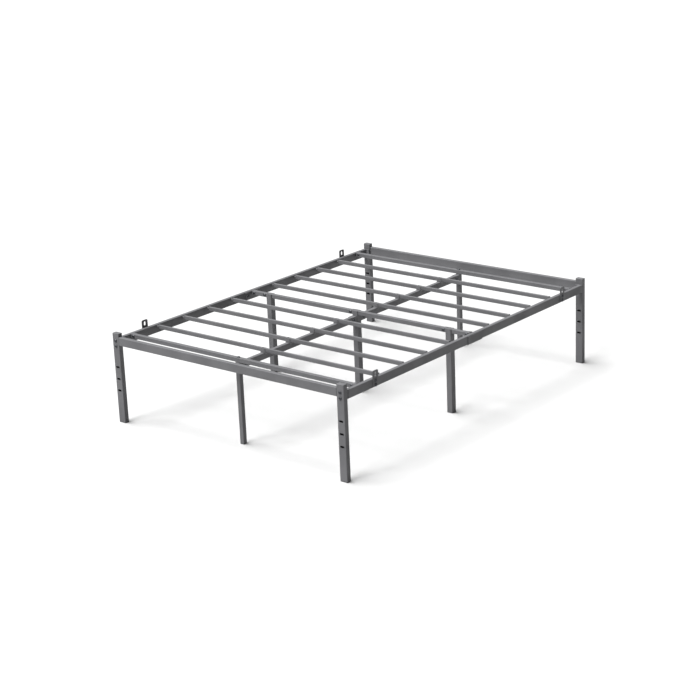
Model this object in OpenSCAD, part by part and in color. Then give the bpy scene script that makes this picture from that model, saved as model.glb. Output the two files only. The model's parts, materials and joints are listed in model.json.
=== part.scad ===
// Knock-down steel platform bed frame on nine legs, with two rows of four tube slats.
// +X is the sleeper's right seen from the foot, +Y runs from foot to head, +Z is up.
// The origin is on the floor, under the middle of the frame.

/* [Overall] */
// Width over the side rails
frame_w = 1380; // [1000:5:1800]
// Length over the end rails
frame_l = 1905; // [1600:5:2300]
// Height of the slat tops, where the mattress lies
deck_h = 411; // [340:1:500]

/* [Corner legs] */
// Width of a corner leg tube, across the bed
leg_w = 40; // [32:1:50]
// Depth of a corner leg tube, along the bed
leg_d = 25; // [20:1:30]
// Wall of a corner leg tube
leg_wall = 1.5; // [1.2:0.1:2]
// Outside corner radius of a corner leg tube
leg_corner = 3; // [2:0.5:4]
// How far a leg with its cap stands above the end rail
leg_rise = 17; // [8:1:30]
// Distance between the two bolts that hold a side rail to a leg
leg_bolt_spread = 26; // [20:1:27]

/* [Headboard slots] */
// Length of a slot
slot_l = 22; // [16:1:24]
// Width of a slot
slot_w = 9; // [7:0.5:10]
// Height of the lowest slot
slot_low = 160; // [120:1:180]
// Height from one slot to the next
slot_pitch = 57.5; // [40:0.5:60]
// Slots in a leg
slot_count = 3; // [1:1:3]

/* [End rails] */
// Height of an end rail tube
end_rail_h = 40; // [30:1:45]
// Thickness of an end rail tube
end_rail_t = 20; // [15:1:25]
// Wall of an end rail tube
end_rail_wall = 1.2; // [1:0.1:2]
// How far an end rail stands above the deck
end_rail_lift = 12; // [4:1:20]
// Thickness of the hook plate on each end of an end rail
hook_plate_t = 3; // [2:0.5:4]
// Width of a hook
hook_w = 4; // [3:0.5:5]
// Height of a hook where it passes the leg's wall
hook_h = 9; // [7:0.5:10]
// How far a hook drops behind the leg's wall
hook_drop = 5; // [3:0.5:6]
// How far a hook reaches behind the leg's wall
hook_reach = 3; // [2:0.5:4]
// Distance between the two hooks of a plate
hook_spread = 22; // [18:1:24]

/* [Side rails] */
// Height of a side rail tube
side_rail_h = 40; // [36:1:50]
// Thickness of a side rail tube
side_rail_t = 20; // [18:1:25]
// Wall of a side rail tube
side_rail_wall = 1.5; // [1.2:0.1:2]
// Thickness of the threaded plate on a side rail's leg end
rail_plate_t = 6; // [5:0.5:8]
// Gap between the two halves of a side rail
rail_butt_gap = 1; // [0.5:0.1:2]
// Length of the tube inside the joint of a side rail
joiner_l = 200; // [140:5:210]
// Wall of the tube inside the joint
joiner_wall = 2; // [1.5:0.1:2.5]
// Length of the sleeve around the joint
sleeve_l = 111; // [100:1:130]
// Thickness of the sleeve
sleeve_t = 3; // [2:0.5:4]
// Distance between the two bolts of a joint
joint_bolt_spread = 76; // [66:1:86]

/* [Crossbars] */
// Side of a square crossbar tube
bar_s = 20; // [18:1:25]
// Wall of a crossbar tube
bar_wall = 1.2; // [1:0.1:2]
// From the end of the bed to the middle of an end crossbar
end_bar_inset = 108.5; // [80:0.5:150]
// Gap between a bolted crossbar end and what it meets
bar_end_gap = 1; // [0.5:0.1:2]
// Thickness of the welded ear behind a bolted crossbar end
ear_t = 3; // [2:0.5:4]
// From the face that carries the ear to its bolt
ear_bolt_inset = 16; // [14:1:20]

/* [Middle legs] */
// Side of a square middle leg tube
mid_leg_s = 30; // [26:1:35]
// Wall of a middle leg tube
mid_leg_wall = 1.5; // [1.2:0.1:2]
// From the side of the bed to the middle of an outer middle leg
mid_leg_inset = 140; // [120:5:250]
// Height of the socket on top of a middle leg
socket_h = 23; // [22:1:28]
// From the underside of the beam down to the bolt of a middle leg
spigot_bolt_drop = 18; // [14:1:40]
// How far the socket's spigot goes down past that bolt
spigot_tail = 12; // [8:1:30]

/* [Centre beam] */
// Width of the centre beam tube
beam_w = 20; // [15:1:25]
// Height of the centre beam tube
beam_h = 30; // [26:1:34]
// Wall of the centre beam tube
beam_wall = 1.2; // [1:0.1:2]
// Side of the square leg at each end of the beam
end_leg_s = 22; // [20:1:25]
// Wall of that leg
end_leg_wall = 1.2; // [1:0.1:1.5]
// Depth of the threaded block in the top of that leg
end_leg_block = 18; // [16:1:24]
// Thickness of a beam bracket
bracket_t = 3; // [2:0.5:4]
// Length of a beam bracket's cheeks
bracket_l = 34; // [28:1:45]

/* [Slats] */
// Slats in each half of the bed's length
slats_per_half = 4; // [2:1:4]
// From the middle crossbar to the nearest slat
slat_first = 154; // [130:1:170]
// From one slat to the next
slat_pitch = 174; // [150:1:200]
// Height of a slat tube
slat_h = 20; // [16:1:20]
// Thickness of a slat tube
slat_t = 10; // [8:1:12]
// Wall of a slat tube
slat_wall = 1; // [0.8:0.1:1.2]
// Diameter of the pin on a slat plug
plug_pin_d = 10; // [8:0.5:12]
// How far the pin reaches into the side rail
plug_pin_reach = 8; // [5:0.5:10]
// Length of the round neck between the rail and a slat
plug_neck_l = 9; // [6:0.5:14]
// Thickness of a slat plug's rim
plug_rim = 3; // [2:0.5:4]
// How far a slat plug goes into its slat
plug_insert = 22; // [16:1:30]

/* [Slat holders] */
// Length of a slat holder, for two slat ends
holder_l = 27; // [27:1:60]
// Wall of a holder beside the slat
holder_wall = 2.4; // [1.8:0.1:3]
// Thickness of a holder between the slat and the beam
holder_floor = 3; // [2:0.5:4]
// Height of a holder's side walls on the slat
holder_grip = 19; // [12:0.5:19]
// How far a holder reaches down beside the beam
holder_skirt = 7; // [4:0.5:10]
// Thickness of the web between the two slat ends
holder_web = 3; // [2:0.5:5]
// Diameter of the peg that a holder sends into the beam
holder_peg_d = 8; // [6:0.5:10]
// Length of that peg below the top of the beam
holder_peg_l = 12; // [8:1:16]

/* [Mattress retainers] */
// Width of a retainer plate
retainer_w = 38; // [30:1:50]
// Thickness of a retainer plate
retainer_t = 3; // [2:0.5:4]
// How far a retainer stands above the deck
retainer_rise = 36; // [20:1:60]
// From the end of the bed to the middle of a retainer
retainer_inset = 213; // [170:1:230]
// Distance between a retainer's two bolts
retainer_bolt_spread = 20; // [18:1:22]
// Width of the oval window in a retainer
retainer_window_w = 12; // [8:1:16]
// Height of that window
retainer_window_h = 20; // [16:1:22]

/* [Caps and glides] */
// Thickness of the rim of a leg cap
cap_t = 3; // [2:0.5:5]
// Thickness of the foot of a glide
glide_t = 4; // [3:0.5:8]
// How far a cap or glide goes into its tube
insert_l = 15; // [10:1:20]
// Wall of a cap's or glide's insert
insert_wall = 2; // [1.5:0.1:2.5]

/* [Bolts] */
// Diameter of the frame bolts
bolt_d = 8; // [6:1:8]
// Diameter of a bolt head
bolt_head_d = 16; // [13:0.5:16]
// Height of a bolt head
bolt_head_h = 4.5; // [3:0.5:5]
// Across the flats of a nut, and height of a nut
nut_af = 13; // [10:0.5:14]
nut_h = 6.5; // [5:0.5:7]
// How far a bolt comes through its nut
bolt_tip = 2; // [1:0.5:4]
// Length of a short bolt
short_bolt_l = 16; // [12:1:18]

/* [Clearances] */
// Between a bolt and its hole, on the radius
bolt_gap = 0.25; // [0.15:0.05:0.5]
// Between a bolt and its threaded hole, on the radius
thread_gap = 0.1; // [0.05:0.05:0.15]
// Between a tube and what slides into it
slide_gap = 0.25; // [0.15:0.05:0.4]
// Between a hook and its slot
hook_gap = 0.5; // [0.3:0.1:1]
// Between the end of a beam or a slat and what it meets
end_gap = 1; // [0.5:0.1:2]

/* [Hidden] */
$fn = 32;
eps = 1;
plate_edge = 1;
bar_corner = 1.5;
rail_corner = 2.5;
slat_corner = 2.5;
sides = [-1, 1];
side_names = ["left", "right"];
end_names = ["foot", "head"];
half_w = frame_w / 2;
half_l = frame_l / 2;
rail_in = half_w - side_rail_t;
rail_z = deck_h - side_rail_h;
rail_mid_z = deck_h - side_rail_h / 2;
leg_x = half_w - leg_w / 2;
leg_y = half_l - leg_d / 2;
end_rail_top = deck_h + end_rail_lift;
leg_top = end_rail_top + leg_rise - cap_t;
rail_end_y = half_l - leg_d - rail_plate_t;
bar_z = deck_h - bar_s / 2;
end_bar_y = half_l - end_bar_inset;
sleeve_in = rail_in - sleeve_t;
mid_x = half_w - mid_leg_inset;
mid_xs = [-mid_x, 0, mid_x];
mid_leg_top = deck_h - socket_h;
bar_bottom = deck_h - bar_s;
beam_top = deck_h - max(slat_h, bar_s) - holder_floor;
beam_z = beam_top - beam_h / 2;
beam_slot_w = beam_w + 2 * slide_gap;
bracket_inner_y = mid_leg_s / 2;
bracket_outer_y = end_bar_y - end_leg_s / 2;
beam_start = bracket_inner_y + bracket_t + end_gap;
beam_stop = bracket_outer_y - bracket_t - end_gap;
bracket_bolt_inset = bracket_l - bolt_head_d / 2 - 3;
beam_bolt_ys = [bracket_inner_y + bracket_bolt_inset, bracket_outer_y - bracket_bolt_inset];
spigot_bolt_z = beam_top - beam_h - spigot_bolt_drop;
spigot_bottom = spigot_bolt_z - spigot_tail;
slat_out = rail_in - plug_neck_l - plug_rim;
slat_in = (holder_web + end_gap) / 2;
slat_z = deck_h - slat_h / 2;
slat_ys = [for (s = sides, i = [0:slats_per_half - 1]) s * (slat_first + i * slat_pitch)];
retainer_y = half_l - retainer_inset;
retainer_bolt_zs = [for (s = sides) rail_mid_z + s * retainer_bolt_spread / 2];
leg_bolt_zs = [for (s = sides) rail_mid_z + s * leg_bolt_spread / 2];
leg_bolt_l = leg_d + rail_plate_t - 1;
bar_bolt_l = max(beam_slot_w + 2 * bracket_t, bar_s + ear_t) + nut_h + bolt_tip;
bolt_hole_d = bolt_d + 2 * bolt_gap;
thread_hole_d = bolt_d + 2 * thread_gap;
powder = [0.4, 0.4, 0.41];
grey_plastic = [0.36, 0.36, 0.37];
black_steel = [0.12, 0.12, 0.13];

// ---- shared shapes ----

// Rounded rectangle of the section of a drawn tube, centred
module rounded(w, d, r) {
    square([w - 2 * r, d], center = true);
    square([w, d - 2 * r], center = true);
    for (sx = sides, sy = sides)
        translate([sx * (w / 2 - r), sy * (d / 2 - r)]) circle(r = r);
}

// Section of a tube with its wall
module tube_section(w, d, wall, r) {
    difference() {
        rounded(w, d, r);
        rounded(w - 2 * wall, d - 2 * wall, max(r - wall, 0.5));
    }
}

// Tube standing up from the origin
module tube_z(w, d, wall, r, l) {
    linear_extrude(l) tube_section(w, d, wall, r);
}

// Tube along +X from x0 to x1, t thick along Y and h high, centred on the X axis
module tube_x(x0, x1, t, h, wall, r) {
    translate([x0, 0, 0]) rotate([90, 0, 90]) tube_z(t, h, wall, r, x1 - x0);
}

// Tube along +Y from y0 to y1, t thick along X and h high, centred on the Y axis
module tube_y(y0, y1, t, h, wall, r) {
    translate([0, y1, 0]) rotate([90, 0, 0]) tube_z(t, h, wall, r, y1 - y0);
}

// Slot's cutter along Y, centred
module slot_y(l, w, depth) {
    rotate([90, 0, 0]) linear_extrude(depth, center = true) {
        square([l - w, w], center = true);
        for (s = sides) translate([s * (l - w) / 2, 0]) circle(d = w);
    }
}

// Cylinders along X and along Y, centred
module rod_x(d, l) {
    rotate([0, 90, 0]) cylinder(d = d, h = l, center = true);
}

module rod_y(d, l) {
    rotate([90, 0, 0]) cylinder(d = d, h = l, center = true);
}

// Button-head bolt with a hex socket: the head sits on z = 0 and the shank points down
module bolt(l) {
    socket_af = bolt_d * 0.62;
    difference() {
        union() {
            cylinder(d = bolt_head_d, h = bolt_head_h * 0.45);
            translate([0, 0, bolt_head_h * 0.45])
                cylinder(d1 = bolt_head_d, d2 = bolt_head_d * 0.62, h = bolt_head_h * 0.55);
        }
        translate([0, 0, bolt_head_h * 0.4])
            cylinder(d = socket_af / cos(30), h = bolt_head_h, $fn = 6);
    }
    translate([0, 0, -l]) cylinder(d = bolt_d, h = l);
}

// Nut that sits on z = 0 and stands up from it
module nut() {
    difference() {
        cylinder(d = nut_af / cos(30), h = nut_h, $fn = 6);
        translate([0, 0, -eps]) cylinder(d = thread_hole_d, h = nut_h + 2 * eps);
    }
}

// Turns a +Z shape to point along +X, -X, +Y or -Y
module towards(d) {
    rotate(d == "+x" ? [0, 90, 0] : d == "-x" ? [0, -90, 0] : d == "+y" ? [-90, 0, 0] : [90, 0, 0])
        children();
}

// ---- corner legs and end rails ----

module leg_slots() {
    for (i = [0:slot_count - 1])
        translate([0, 0, slot_low + i * slot_pitch]) slot_y(slot_l, slot_w, leg_d + 2 * eps);
}

// One corner leg: sx is -1 on the left, sy is -1 at the foot
module corner_leg(sx, sy) {
    color(powder) translate([sx * leg_x, sy * leg_y, 0]) difference() {
        translate([0, 0, glide_t]) tube_z(leg_w, leg_d, leg_wall, leg_corner, leg_top - glide_t);
        leg_slots();
        for (z = leg_bolt_zs) translate([0, 0, z]) rod_y(bolt_hole_d, leg_d + 2 * eps);
        for (s = sides)
            translate([-sx * (leg_w / 2 - leg_wall / 2), sy * (leg_d - end_rail_t) / 2, hook_z(s)])
                hook_slot();
    }
}

function hook_z(s) = end_rail_top - end_rail_h / 2 + s * hook_spread / 2;

// Slot in a leg's wall that a hook enters and then drops in
module hook_slot() {
    translate([0, 0, -hook_drop / 2])
        cube([leg_wall + 2 * eps, hook_w + 2 * hook_gap, hook_h + hook_drop + 2 * hook_gap], center = true);
}

// Hook that points along +X from x = 0 and turns down behind the leg's wall
module hook() {
    translate([0, -hook_w / 2, -hook_h / 2]) cube([leg_wall + hook_gap + hook_reach, hook_w, hook_h]);
    translate([leg_wall + hook_gap, -hook_w / 2, -hook_h / 2 - hook_drop + hook_gap])
        cube([hook_reach, hook_w, hook_h]);
}

module end_rail(sy) {
    rail_x = half_w - leg_w;
    color(powder) translate([0, sy * (half_l - end_rail_t / 2), 0]) {
        translate([0, 0, end_rail_top - end_rail_h / 2])
            tube_x(hook_plate_t - rail_x, rail_x - hook_plate_t, end_rail_t, end_rail_h,
                end_rail_wall, rail_corner);
        for (sx = sides) {
            translate([sx * (rail_x - hook_plate_t / 2), 0, end_rail_top - end_rail_h / 2])
                rotate([90, 0, 90]) linear_extrude(hook_plate_t, center = true)
                    rounded(end_rail_t, end_rail_h, rail_corner);
            for (s = sides)
                translate([sx * rail_x, 0, hook_z(s)]) rotate([0, 0, sx < 0 ? 180 : 0]) hook();
        }
    }
}

// ---- side rails ----

// Half of a side rail, with its threaded plate and the holes for slat pins and joint bolts
module side_rail(sx, sy) {
    color(powder) {
        difference() {
            translate([sx * (half_w - side_rail_t / 2), 0, rail_mid_z])
                tube_y(sy > 0 ? rail_butt_gap / 2 : -rail_end_y, sy > 0 ? rail_end_y : -rail_butt_gap / 2,
                    side_rail_t, side_rail_h, side_rail_wall, rail_corner);
            for (y = slat_ys)
                if (y * sy > 0)
                    translate([sx * rail_in, y, slat_z])
                        rod_x(plug_pin_d + 2 * slide_gap, 2 * side_rail_wall + eps);
            translate([sx * rail_in, sy * joint_bolt_spread / 2, rail_mid_z])
                rod_x(bolt_hole_d, 2 * side_rail_wall + eps);
            for (z = retainer_bolt_zs)
                translate([sx * half_w, sy * retainer_y, z]) rod_x(thread_hole_d, 2 * side_rail_wall + eps);
        }
        difference() {
            translate([sx * leg_x, sy * (rail_end_y + rail_plate_t / 2), rail_mid_z])
                cube([leg_w - 2 * plate_edge, rail_plate_t, side_rail_h - 2 * plate_edge], center = true);
            for (z = leg_bolt_zs)
                translate([sx * leg_x, sy * rail_end_y, z]) rod_y(thread_hole_d, 3 * rail_plate_t);
        }
    }
}

// Open-topped sleeve around the joint of a side rail, bent up from sheet
module rail_sleeve(sx) {
    bend = rail_corner + sleeve_t;
    open_z = sleeve_t + side_rail_h - rail_corner;
    inner_wall_x = -sx * (side_rail_t + sleeve_t) / 2;
    color(powder) translate([sx * (half_w - side_rail_t / 2), 0, rail_z - sleeve_t]) difference() {
        rotate([90, 0, 0]) linear_extrude(sleeve_l, center = true) difference() {
            translate([0, open_z]) rounded(side_rail_t + 2 * sleeve_t, 2 * open_z, bend);
            translate([0, sleeve_t + side_rail_h]) rounded(side_rail_t, 2 * side_rail_h, rail_corner);
            translate([0, open_z + side_rail_h]) square([2 * leg_w, 2 * side_rail_h], center = true);
        }
        for (s = sides)
            translate([inner_wall_x, s * joint_bolt_spread / 2, sleeve_t + side_rail_h / 2])
                rod_x(bolt_hole_d, sleeve_t + 2 * eps);
    }
}

// Tubes inside the joints, each with two threaded bosses for the joint bolts
module rail_joiners() {
    joiner_t = side_rail_t - 2 * side_rail_wall - 2 * slide_gap;
    joiner_h = side_rail_h - 2 * side_rail_wall - 2 * slide_gap;
    boss_h = 4;
    boss_x = joiner_t / 2 - joiner_wall - boss_h / 2;
    color(powder) for (sx = sides) translate([sx * (half_w - side_rail_t / 2), 0, rail_mid_z])
        difference() {
            union() {
                tube_y(-joiner_l / 2, joiner_l / 2, joiner_t, joiner_h, joiner_wall, rail_corner);
                for (s = sides)
                    translate([-sx * boss_x, s * joint_bolt_spread / 2, 0]) rod_x(nut_af, boss_h + eps);
            }
            for (s = sides)
                translate([-sx * joiner_t / 2, s * joint_bolt_spread / 2, 0])
                    rod_x(thread_hole_d, 4 * (joiner_wall + boss_h));
        }
}

// ---- crossbars ----

// Crossbar piece from x0 to x1 in the row at y, with a bolt hole wherever its end is bolted
module bar(x0, x1, y, holes) {
    color(powder) translate([0, y, bar_z]) difference() {
        tube_x(x0, x1, bar_s, bar_s, bar_wall, bar_corner);
        for (x = holes) translate([x, 0, 0]) rod_y(bolt_hole_d, bar_s + 2 * eps);
    }
}

module end_crossbar(sy) {
    color(powder) difference() {
        bar(bar_end_gap - rail_in, rail_in - bar_end_gap, sy * end_bar_y,
            [ear_bolt_inset - rail_in, rail_in - ear_bolt_inset]);
        translate([0, sy * end_bar_y, bar_z]) cylinder(d = bolt_hole_d, h = bar_s + 2 * eps, center = true);
    }
}

// Faces that carry an ear, as [x, y, direction the ear points along X]
ears = concat(
    [for (sx = sides, sy = sides) [sx * rail_in, sy * end_bar_y, -sx]],
    [for (sx = sides) [sx * sleeve_in, 0, -sx]],
    [for (x = mid_xs) [x - mid_leg_s / 2, 0, -1]]
);

// Welded ears: flat plates with a round end, behind the bolted ends of the crossbars
module crossbar_ears() {
    color(powder) for (e = ears)
        translate([e[0], e[1] + bar_s / 2 + ear_t / 2, bar_z]) difference() {
            union() {
                translate([e[2] * ear_bolt_inset / 2, 0, 0])
                    cube([ear_bolt_inset, ear_t, bar_s], center = true);
                translate([e[2] * ear_bolt_inset, 0, 0]) rod_y(bar_s, ear_t);
            }
            translate([e[2] * ear_bolt_inset, 0, 0]) rod_y(bolt_hole_d, ear_t + 2 * eps);
        }
}

// Pieces of the middle crossbar: each is welded to the socket on its left and bolted at its right
module mid_bar(i) {
    x0 = i == 0 ? bar_end_gap - sleeve_in : mid_xs[i - 1] + mid_leg_s / 2;
    x1 = i == 3 ? sleeve_in - bar_end_gap : mid_xs[i] - mid_leg_s / 2 - bar_end_gap;
    left_hole = i == 0 ? [ear_bolt_inset - sleeve_in] : [];
    right_hole = [x1 + bar_end_gap - ear_bolt_inset];
    bar(x0, x1, 0, concat(left_hole, right_hole));
}

// Closed socket on top of a middle leg, with the spigot that goes down into the leg
module mid_socket(i) {
    spigot_s = mid_leg_s - 2 * mid_leg_wall - 2 * slide_gap;
    bore_s = spigot_s - 2 * mid_leg_wall;
    color(powder) translate([mid_xs[i], 0, 0]) difference() {
        union() {
            translate([0, 0, mid_leg_top]) linear_extrude(socket_h) rounded(mid_leg_s, mid_leg_s, bar_corner);
            translate([0, 0, spigot_bottom])
                linear_extrude(mid_leg_top + eps - spigot_bottom) rounded(spigot_s, spigot_s, bar_corner);
        }
        translate([0, 0, spigot_bottom - eps])
            linear_extrude(deck_h - mid_leg_wall - spigot_bottom + eps)
                rounded(bore_s, bore_s, bar_corner / 2);
        translate([0, mid_leg_s / 2, spigot_bolt_z]) rod_y(thread_hole_d, mid_leg_s / 2);
    }
}

module mid_leg(i) {
    color(powder) translate([mid_xs[i], 0, 0]) difference() {
        translate([0, 0, glide_t])
            tube_z(mid_leg_s, mid_leg_s, mid_leg_wall, bar_corner, mid_leg_top - glide_t);
        translate([0, mid_leg_s / 2, spigot_bolt_z]) rod_y(bolt_hole_d, mid_leg_s / 2);
    }
}

// ---- centre beam and its end legs ----

// Leg under the middle of an end crossbar, with a threaded block in its top
module end_leg(sy) {
    color(powder) translate([0, sy * end_bar_y, 0]) difference() {
        union() {
            translate([0, 0, glide_t])
                tube_z(end_leg_s, end_leg_s, end_leg_wall, bar_corner, bar_bottom - glide_t);
            translate([0, 0, bar_bottom - end_leg_block])
                linear_extrude(end_leg_block) square(end_leg_s - end_leg_wall, center = true);
        }
        translate([0, 0, bar_bottom - end_leg_block - eps])
            cylinder(d = thread_hole_d, h = end_leg_block + 2 * eps);
    }
}

module centre_beam(sy) {
    color(powder) difference() {
        translate([0, 0, beam_z])
            tube_y(sy > 0 ? beam_start : -beam_stop, sy > 0 ? beam_stop : -beam_start,
                beam_w, beam_h, beam_wall, bar_corner);
        for (y = slat_ys)
            if (y * sy > 0)
                translate([0, y, beam_top])
                    cylinder(d = holder_peg_d + 2 * slide_gap, h = 3 * beam_wall, center = true);
        for (y = beam_bolt_ys) translate([0, sy * y, beam_z]) rod_x(bolt_hole_d, beam_w + 2 * eps);
    }
}

// Bracket with two cheeks that hold the beam: its web is on y = 0 and it opens along +Y
module beam_bracket() {
    difference() {
        translate([-beam_slot_w / 2 - bracket_t, 0, beam_top - beam_h])
            cube([beam_slot_w + 2 * bracket_t, bracket_l, beam_h]);
        translate([-beam_slot_w / 2, bracket_t, beam_top - beam_h - eps])
            cube([beam_slot_w, bracket_l, beam_h + 2 * eps]);
        translate([0, bracket_bolt_inset, beam_z]) rod_x(bolt_hole_d, beam_slot_w + 4 * bracket_t);
    }
}

module beam_brackets() {
    color(powder) for (sy = sides) {
        translate([0, sy * bracket_inner_y, 0]) rotate([0, 0, sy > 0 ? 0 : 180]) beam_bracket();
        translate([0, sy * bracket_outer_y, 0]) rotate([0, 0, sy > 0 ? 180 : 0]) beam_bracket();
    }
}

// ---- slats, their plugs and their holders ----

// Slat i, counted from the foot, on side sx
module slat(sx, i) {
    row = i < slats_per_half ? slats_per_half - 1 - i : i;
    color(powder) translate([0, slat_ys[row], slat_z])
        tube_x(sx > 0 ? slat_in : -slat_out, sx > 0 ? slat_out : -slat_in,
            slat_t, slat_h, slat_wall, slat_corner);
}

// Plug in the outer end of each slat, with the pin that sits in the side rail
module slat_plugs() {
    fit_t = slat_t - 2 * slat_wall - 2 * slide_gap;
    fit_h = slat_h - 2 * slat_wall - 2 * slide_gap;
    color(grey_plastic) for (sx = sides, y = slat_ys)
        translate([sx * rail_in, y, slat_z]) rotate([90, 0, sx > 0 ? -90 : 90]) {
            translate([0, 0, -plug_pin_reach]) cylinder(d = plug_pin_d, h = plug_pin_reach);
            cylinder(d = plug_pin_d, h = plug_neck_l);
            cylinder(d = plug_pin_d + 4, h = 2);
            translate([0, 0, plug_neck_l]) linear_extrude(plug_rim) rounded(slat_t, slat_h, slat_corner);
            translate([0, 0, plug_neck_l + plug_rim])
                linear_extrude(plug_insert) rounded(fit_t, fit_h, slat_corner - slat_wall);
        }
}

// Saddle on the beam that holds the inner ends of a left and a right slat
module slat_holder() {
    inner = slat_t + 2 * slide_gap;
    outer = inner + 2 * holder_wall;
    beam_clear = beam_w / 2 + slide_gap;
    floor_z = deck_h - slat_h;
    tip_t = 2;
    difference() {
        translate([0, outer / 2, 0]) rotate([90, 0, 0]) linear_extrude(outer)
            polygon([
                [-holder_l / 2, floor_z + holder_grip], [-holder_l / 2, floor_z - tip_t],
                [-beam_clear - holder_wall, beam_top - holder_skirt], [-beam_clear, beam_top - holder_skirt],
                [-beam_clear, beam_top], [beam_clear, beam_top], [beam_clear, beam_top - holder_skirt],
                [beam_clear + holder_wall, beam_top - holder_skirt], [holder_l / 2, floor_z - tip_t],
                [holder_l / 2, floor_z + holder_grip]
            ]);
        for (s = sides)
            translate([s * (holder_web / 2 + holder_l / 2), 0, floor_z + holder_grip])
                cube([holder_l, inner, 2 * holder_grip], center = true);
    }
    translate([-holder_web / 2, -inner / 2 - eps / 2, floor_z + eps])
        cube([holder_web, inner + eps, slat_h - 2 * eps]);
    translate([0, 0, beam_top - holder_peg_l]) cylinder(d = holder_peg_d, h = holder_peg_l + eps);
}

module slat_holders() {
    color(grey_plastic) for (y = slat_ys) translate([0, y, 0]) slat_holder();
}

// ---- mattress retainers ----

// Plate outline with round top corners, upright in the XY plane
module retainer_outline() {
    bottom = rail_z + rail_corner;
    top = deck_h + retainer_rise;
    tip = retainer_w / 5;
    translate([-retainer_w / 2, bottom]) square([retainer_w, top - tip - bottom]);
    translate([-retainer_w / 2 + tip, bottom]) square([retainer_w - 2 * tip, top - bottom]);
    for (s = sides) translate([s * (retainer_w / 2 - tip), top - tip]) circle(r = tip);
}

module retainer_window() {
    straight = retainer_window_h - retainer_window_w;
    square([retainer_window_w, straight], center = true);
    for (s = sides) translate([0, s * straight / 2]) circle(d = retainer_window_w);
}

module retainer(sx, sy) {
    color(powder) translate([sx * (half_w + retainer_t / 2), sy * retainer_y, 0])
        rotate([90, 0, 90]) linear_extrude(retainer_t, center = true) difference() {
            retainer_outline();
            translate([0, deck_h + retainer_rise / 2]) retainer_window();
            for (z = retainer_bolt_zs) translate([0, z]) circle(d = bolt_hole_d);
        }
}

// ---- caps and glides ----

// Hollow insert of a cap or glide, open at its far end, standing up from z = 0
module insert(w, d) {
    difference() {
        linear_extrude(insert_l) rounded(w, d, bar_corner);
        translate([0, 0, eps])
            linear_extrude(insert_l) rounded(w - 2 * insert_wall, d - 2 * insert_wall, bar_corner / 2);
    }
}

module corner_leg_caps() {
    color(grey_plastic) for (sx = sides, sy = sides) translate([sx * leg_x, sy * leg_y, leg_top]) {
        linear_extrude(cap_t) rounded(leg_w, leg_d, leg_corner);
        mirror([0, 0, 1])
            insert(leg_w - 2 * leg_wall - 2 * slide_gap, leg_d - 2 * leg_wall - 2 * slide_gap);
    }
}

module glide(w, d, wall, r) {
    linear_extrude(glide_t) rounded(w, d, r);
    translate([0, 0, glide_t]) insert(w - 2 * wall - 2 * slide_gap, d - 2 * wall - 2 * slide_gap);
}

module corner_leg_glides() {
    color(grey_plastic) for (sx = sides, sy = sides) translate([sx * leg_x, sy * leg_y, 0])
        glide(leg_w, leg_d, leg_wall, leg_corner);
}

module inner_leg_glides() {
    color(grey_plastic) {
        for (x = mid_xs) translate([x, 0, 0]) glide(mid_leg_s, mid_leg_s, mid_leg_wall, bar_corner);
        for (sy = sides) translate([0, sy * end_bar_y, 0])
            glide(end_leg_s, end_leg_s, end_leg_wall, bar_corner);
    }
}

// ---- fasteners ----

// Bolts through the corner legs into the side rails' plates
module leg_bolts() {
    color(black_steel) for (sx = sides, sy = sides, z = leg_bolt_zs)
        translate([sx * leg_x, sy * half_l, z]) towards(sy > 0 ? "+y" : "-y") bolt(leg_bolt_l);
}

// Bolts through the crossbars into their ears, down into the end legs, and through the beam's ends
module bar_bolts() {
    color(black_steel) {
        for (e = ears) translate([e[0] + e[2] * ear_bolt_inset, e[1] - bar_s / 2, bar_z])
            towards("-y") bolt(bar_bolt_l);
        for (sy = sides) translate([0, sy * end_bar_y, deck_h]) bolt(bar_bolt_l);
        for (sy = sides, y = beam_bolt_ys)
            translate([beam_slot_w / 2 + bracket_t, sy * y, beam_z]) towards("+x") bolt(bar_bolt_l);
    }
}

module bar_nuts() {
    color(black_steel) {
        for (e = ears) translate([e[0] + e[2] * ear_bolt_inset, e[1] + bar_s / 2 + ear_t, bar_z])
            towards("+y") nut();
        for (sy = sides, y = beam_bolt_ys)
            translate([-beam_slot_w / 2 - bracket_t, sy * y, beam_z]) towards("-x") nut();
    }
}

// Bolts of the rail joints, the retainers and the middle legs
module short_bolts() {
    color(black_steel) {
        for (sx = sides, s = sides)
            translate([sx * sleeve_in, s * joint_bolt_spread / 2, rail_mid_z])
                towards(sx > 0 ? "-x" : "+x") bolt(short_bolt_l);
        for (sx = sides, sy = sides, z = retainer_bolt_zs)
            translate([sx * (half_w + retainer_t), sy * retainer_y, z])
                towards(sx > 0 ? "+x" : "-x") bolt(short_bolt_l);
        for (x = mid_xs)
            translate([x, mid_leg_s / 2, spigot_bolt_z]) towards("+y") bolt(short_bolt_l);
    }
}

// ---- nodes ----

for (a = [0, 1], b = [0, 1]) {
    place = str(end_names[b], "_", side_names[a]);
    corner_leg(sides[a], sides[b]);
    side_rail(sides[a], sides[b]);
    retainer(sides[a], sides[b]);
}
for (b = [0, 1]) {
    end_rail(sides[b]);
    end_crossbar(sides[b]);
    end_leg(sides[b]);
    centre_beam(sides[b]);
    rail_sleeve(sides[b]);
}
for (i = [0:2]) {
    place = ["left", "centre", "right"][i];
    mid_socket(i);
    mid_leg(i);
}
for (i = [0:3]) {
    place = ["left_outer", "left_inner", "right_inner", "right_outer"][i];
    mid_bar(i);
}
for (a = [0, 1], i = [0:2 * slats_per_half - 1])
    slat(sides[a], i);
rail_joiners();
crossbar_ears();
beam_brackets();
slat_plugs();
slat_holders();
corner_leg_caps();
corner_leg_glides();
inner_leg_glides();
leg_bolts();
bar_bolts();
short_bolts();
bar_nuts();
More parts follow.
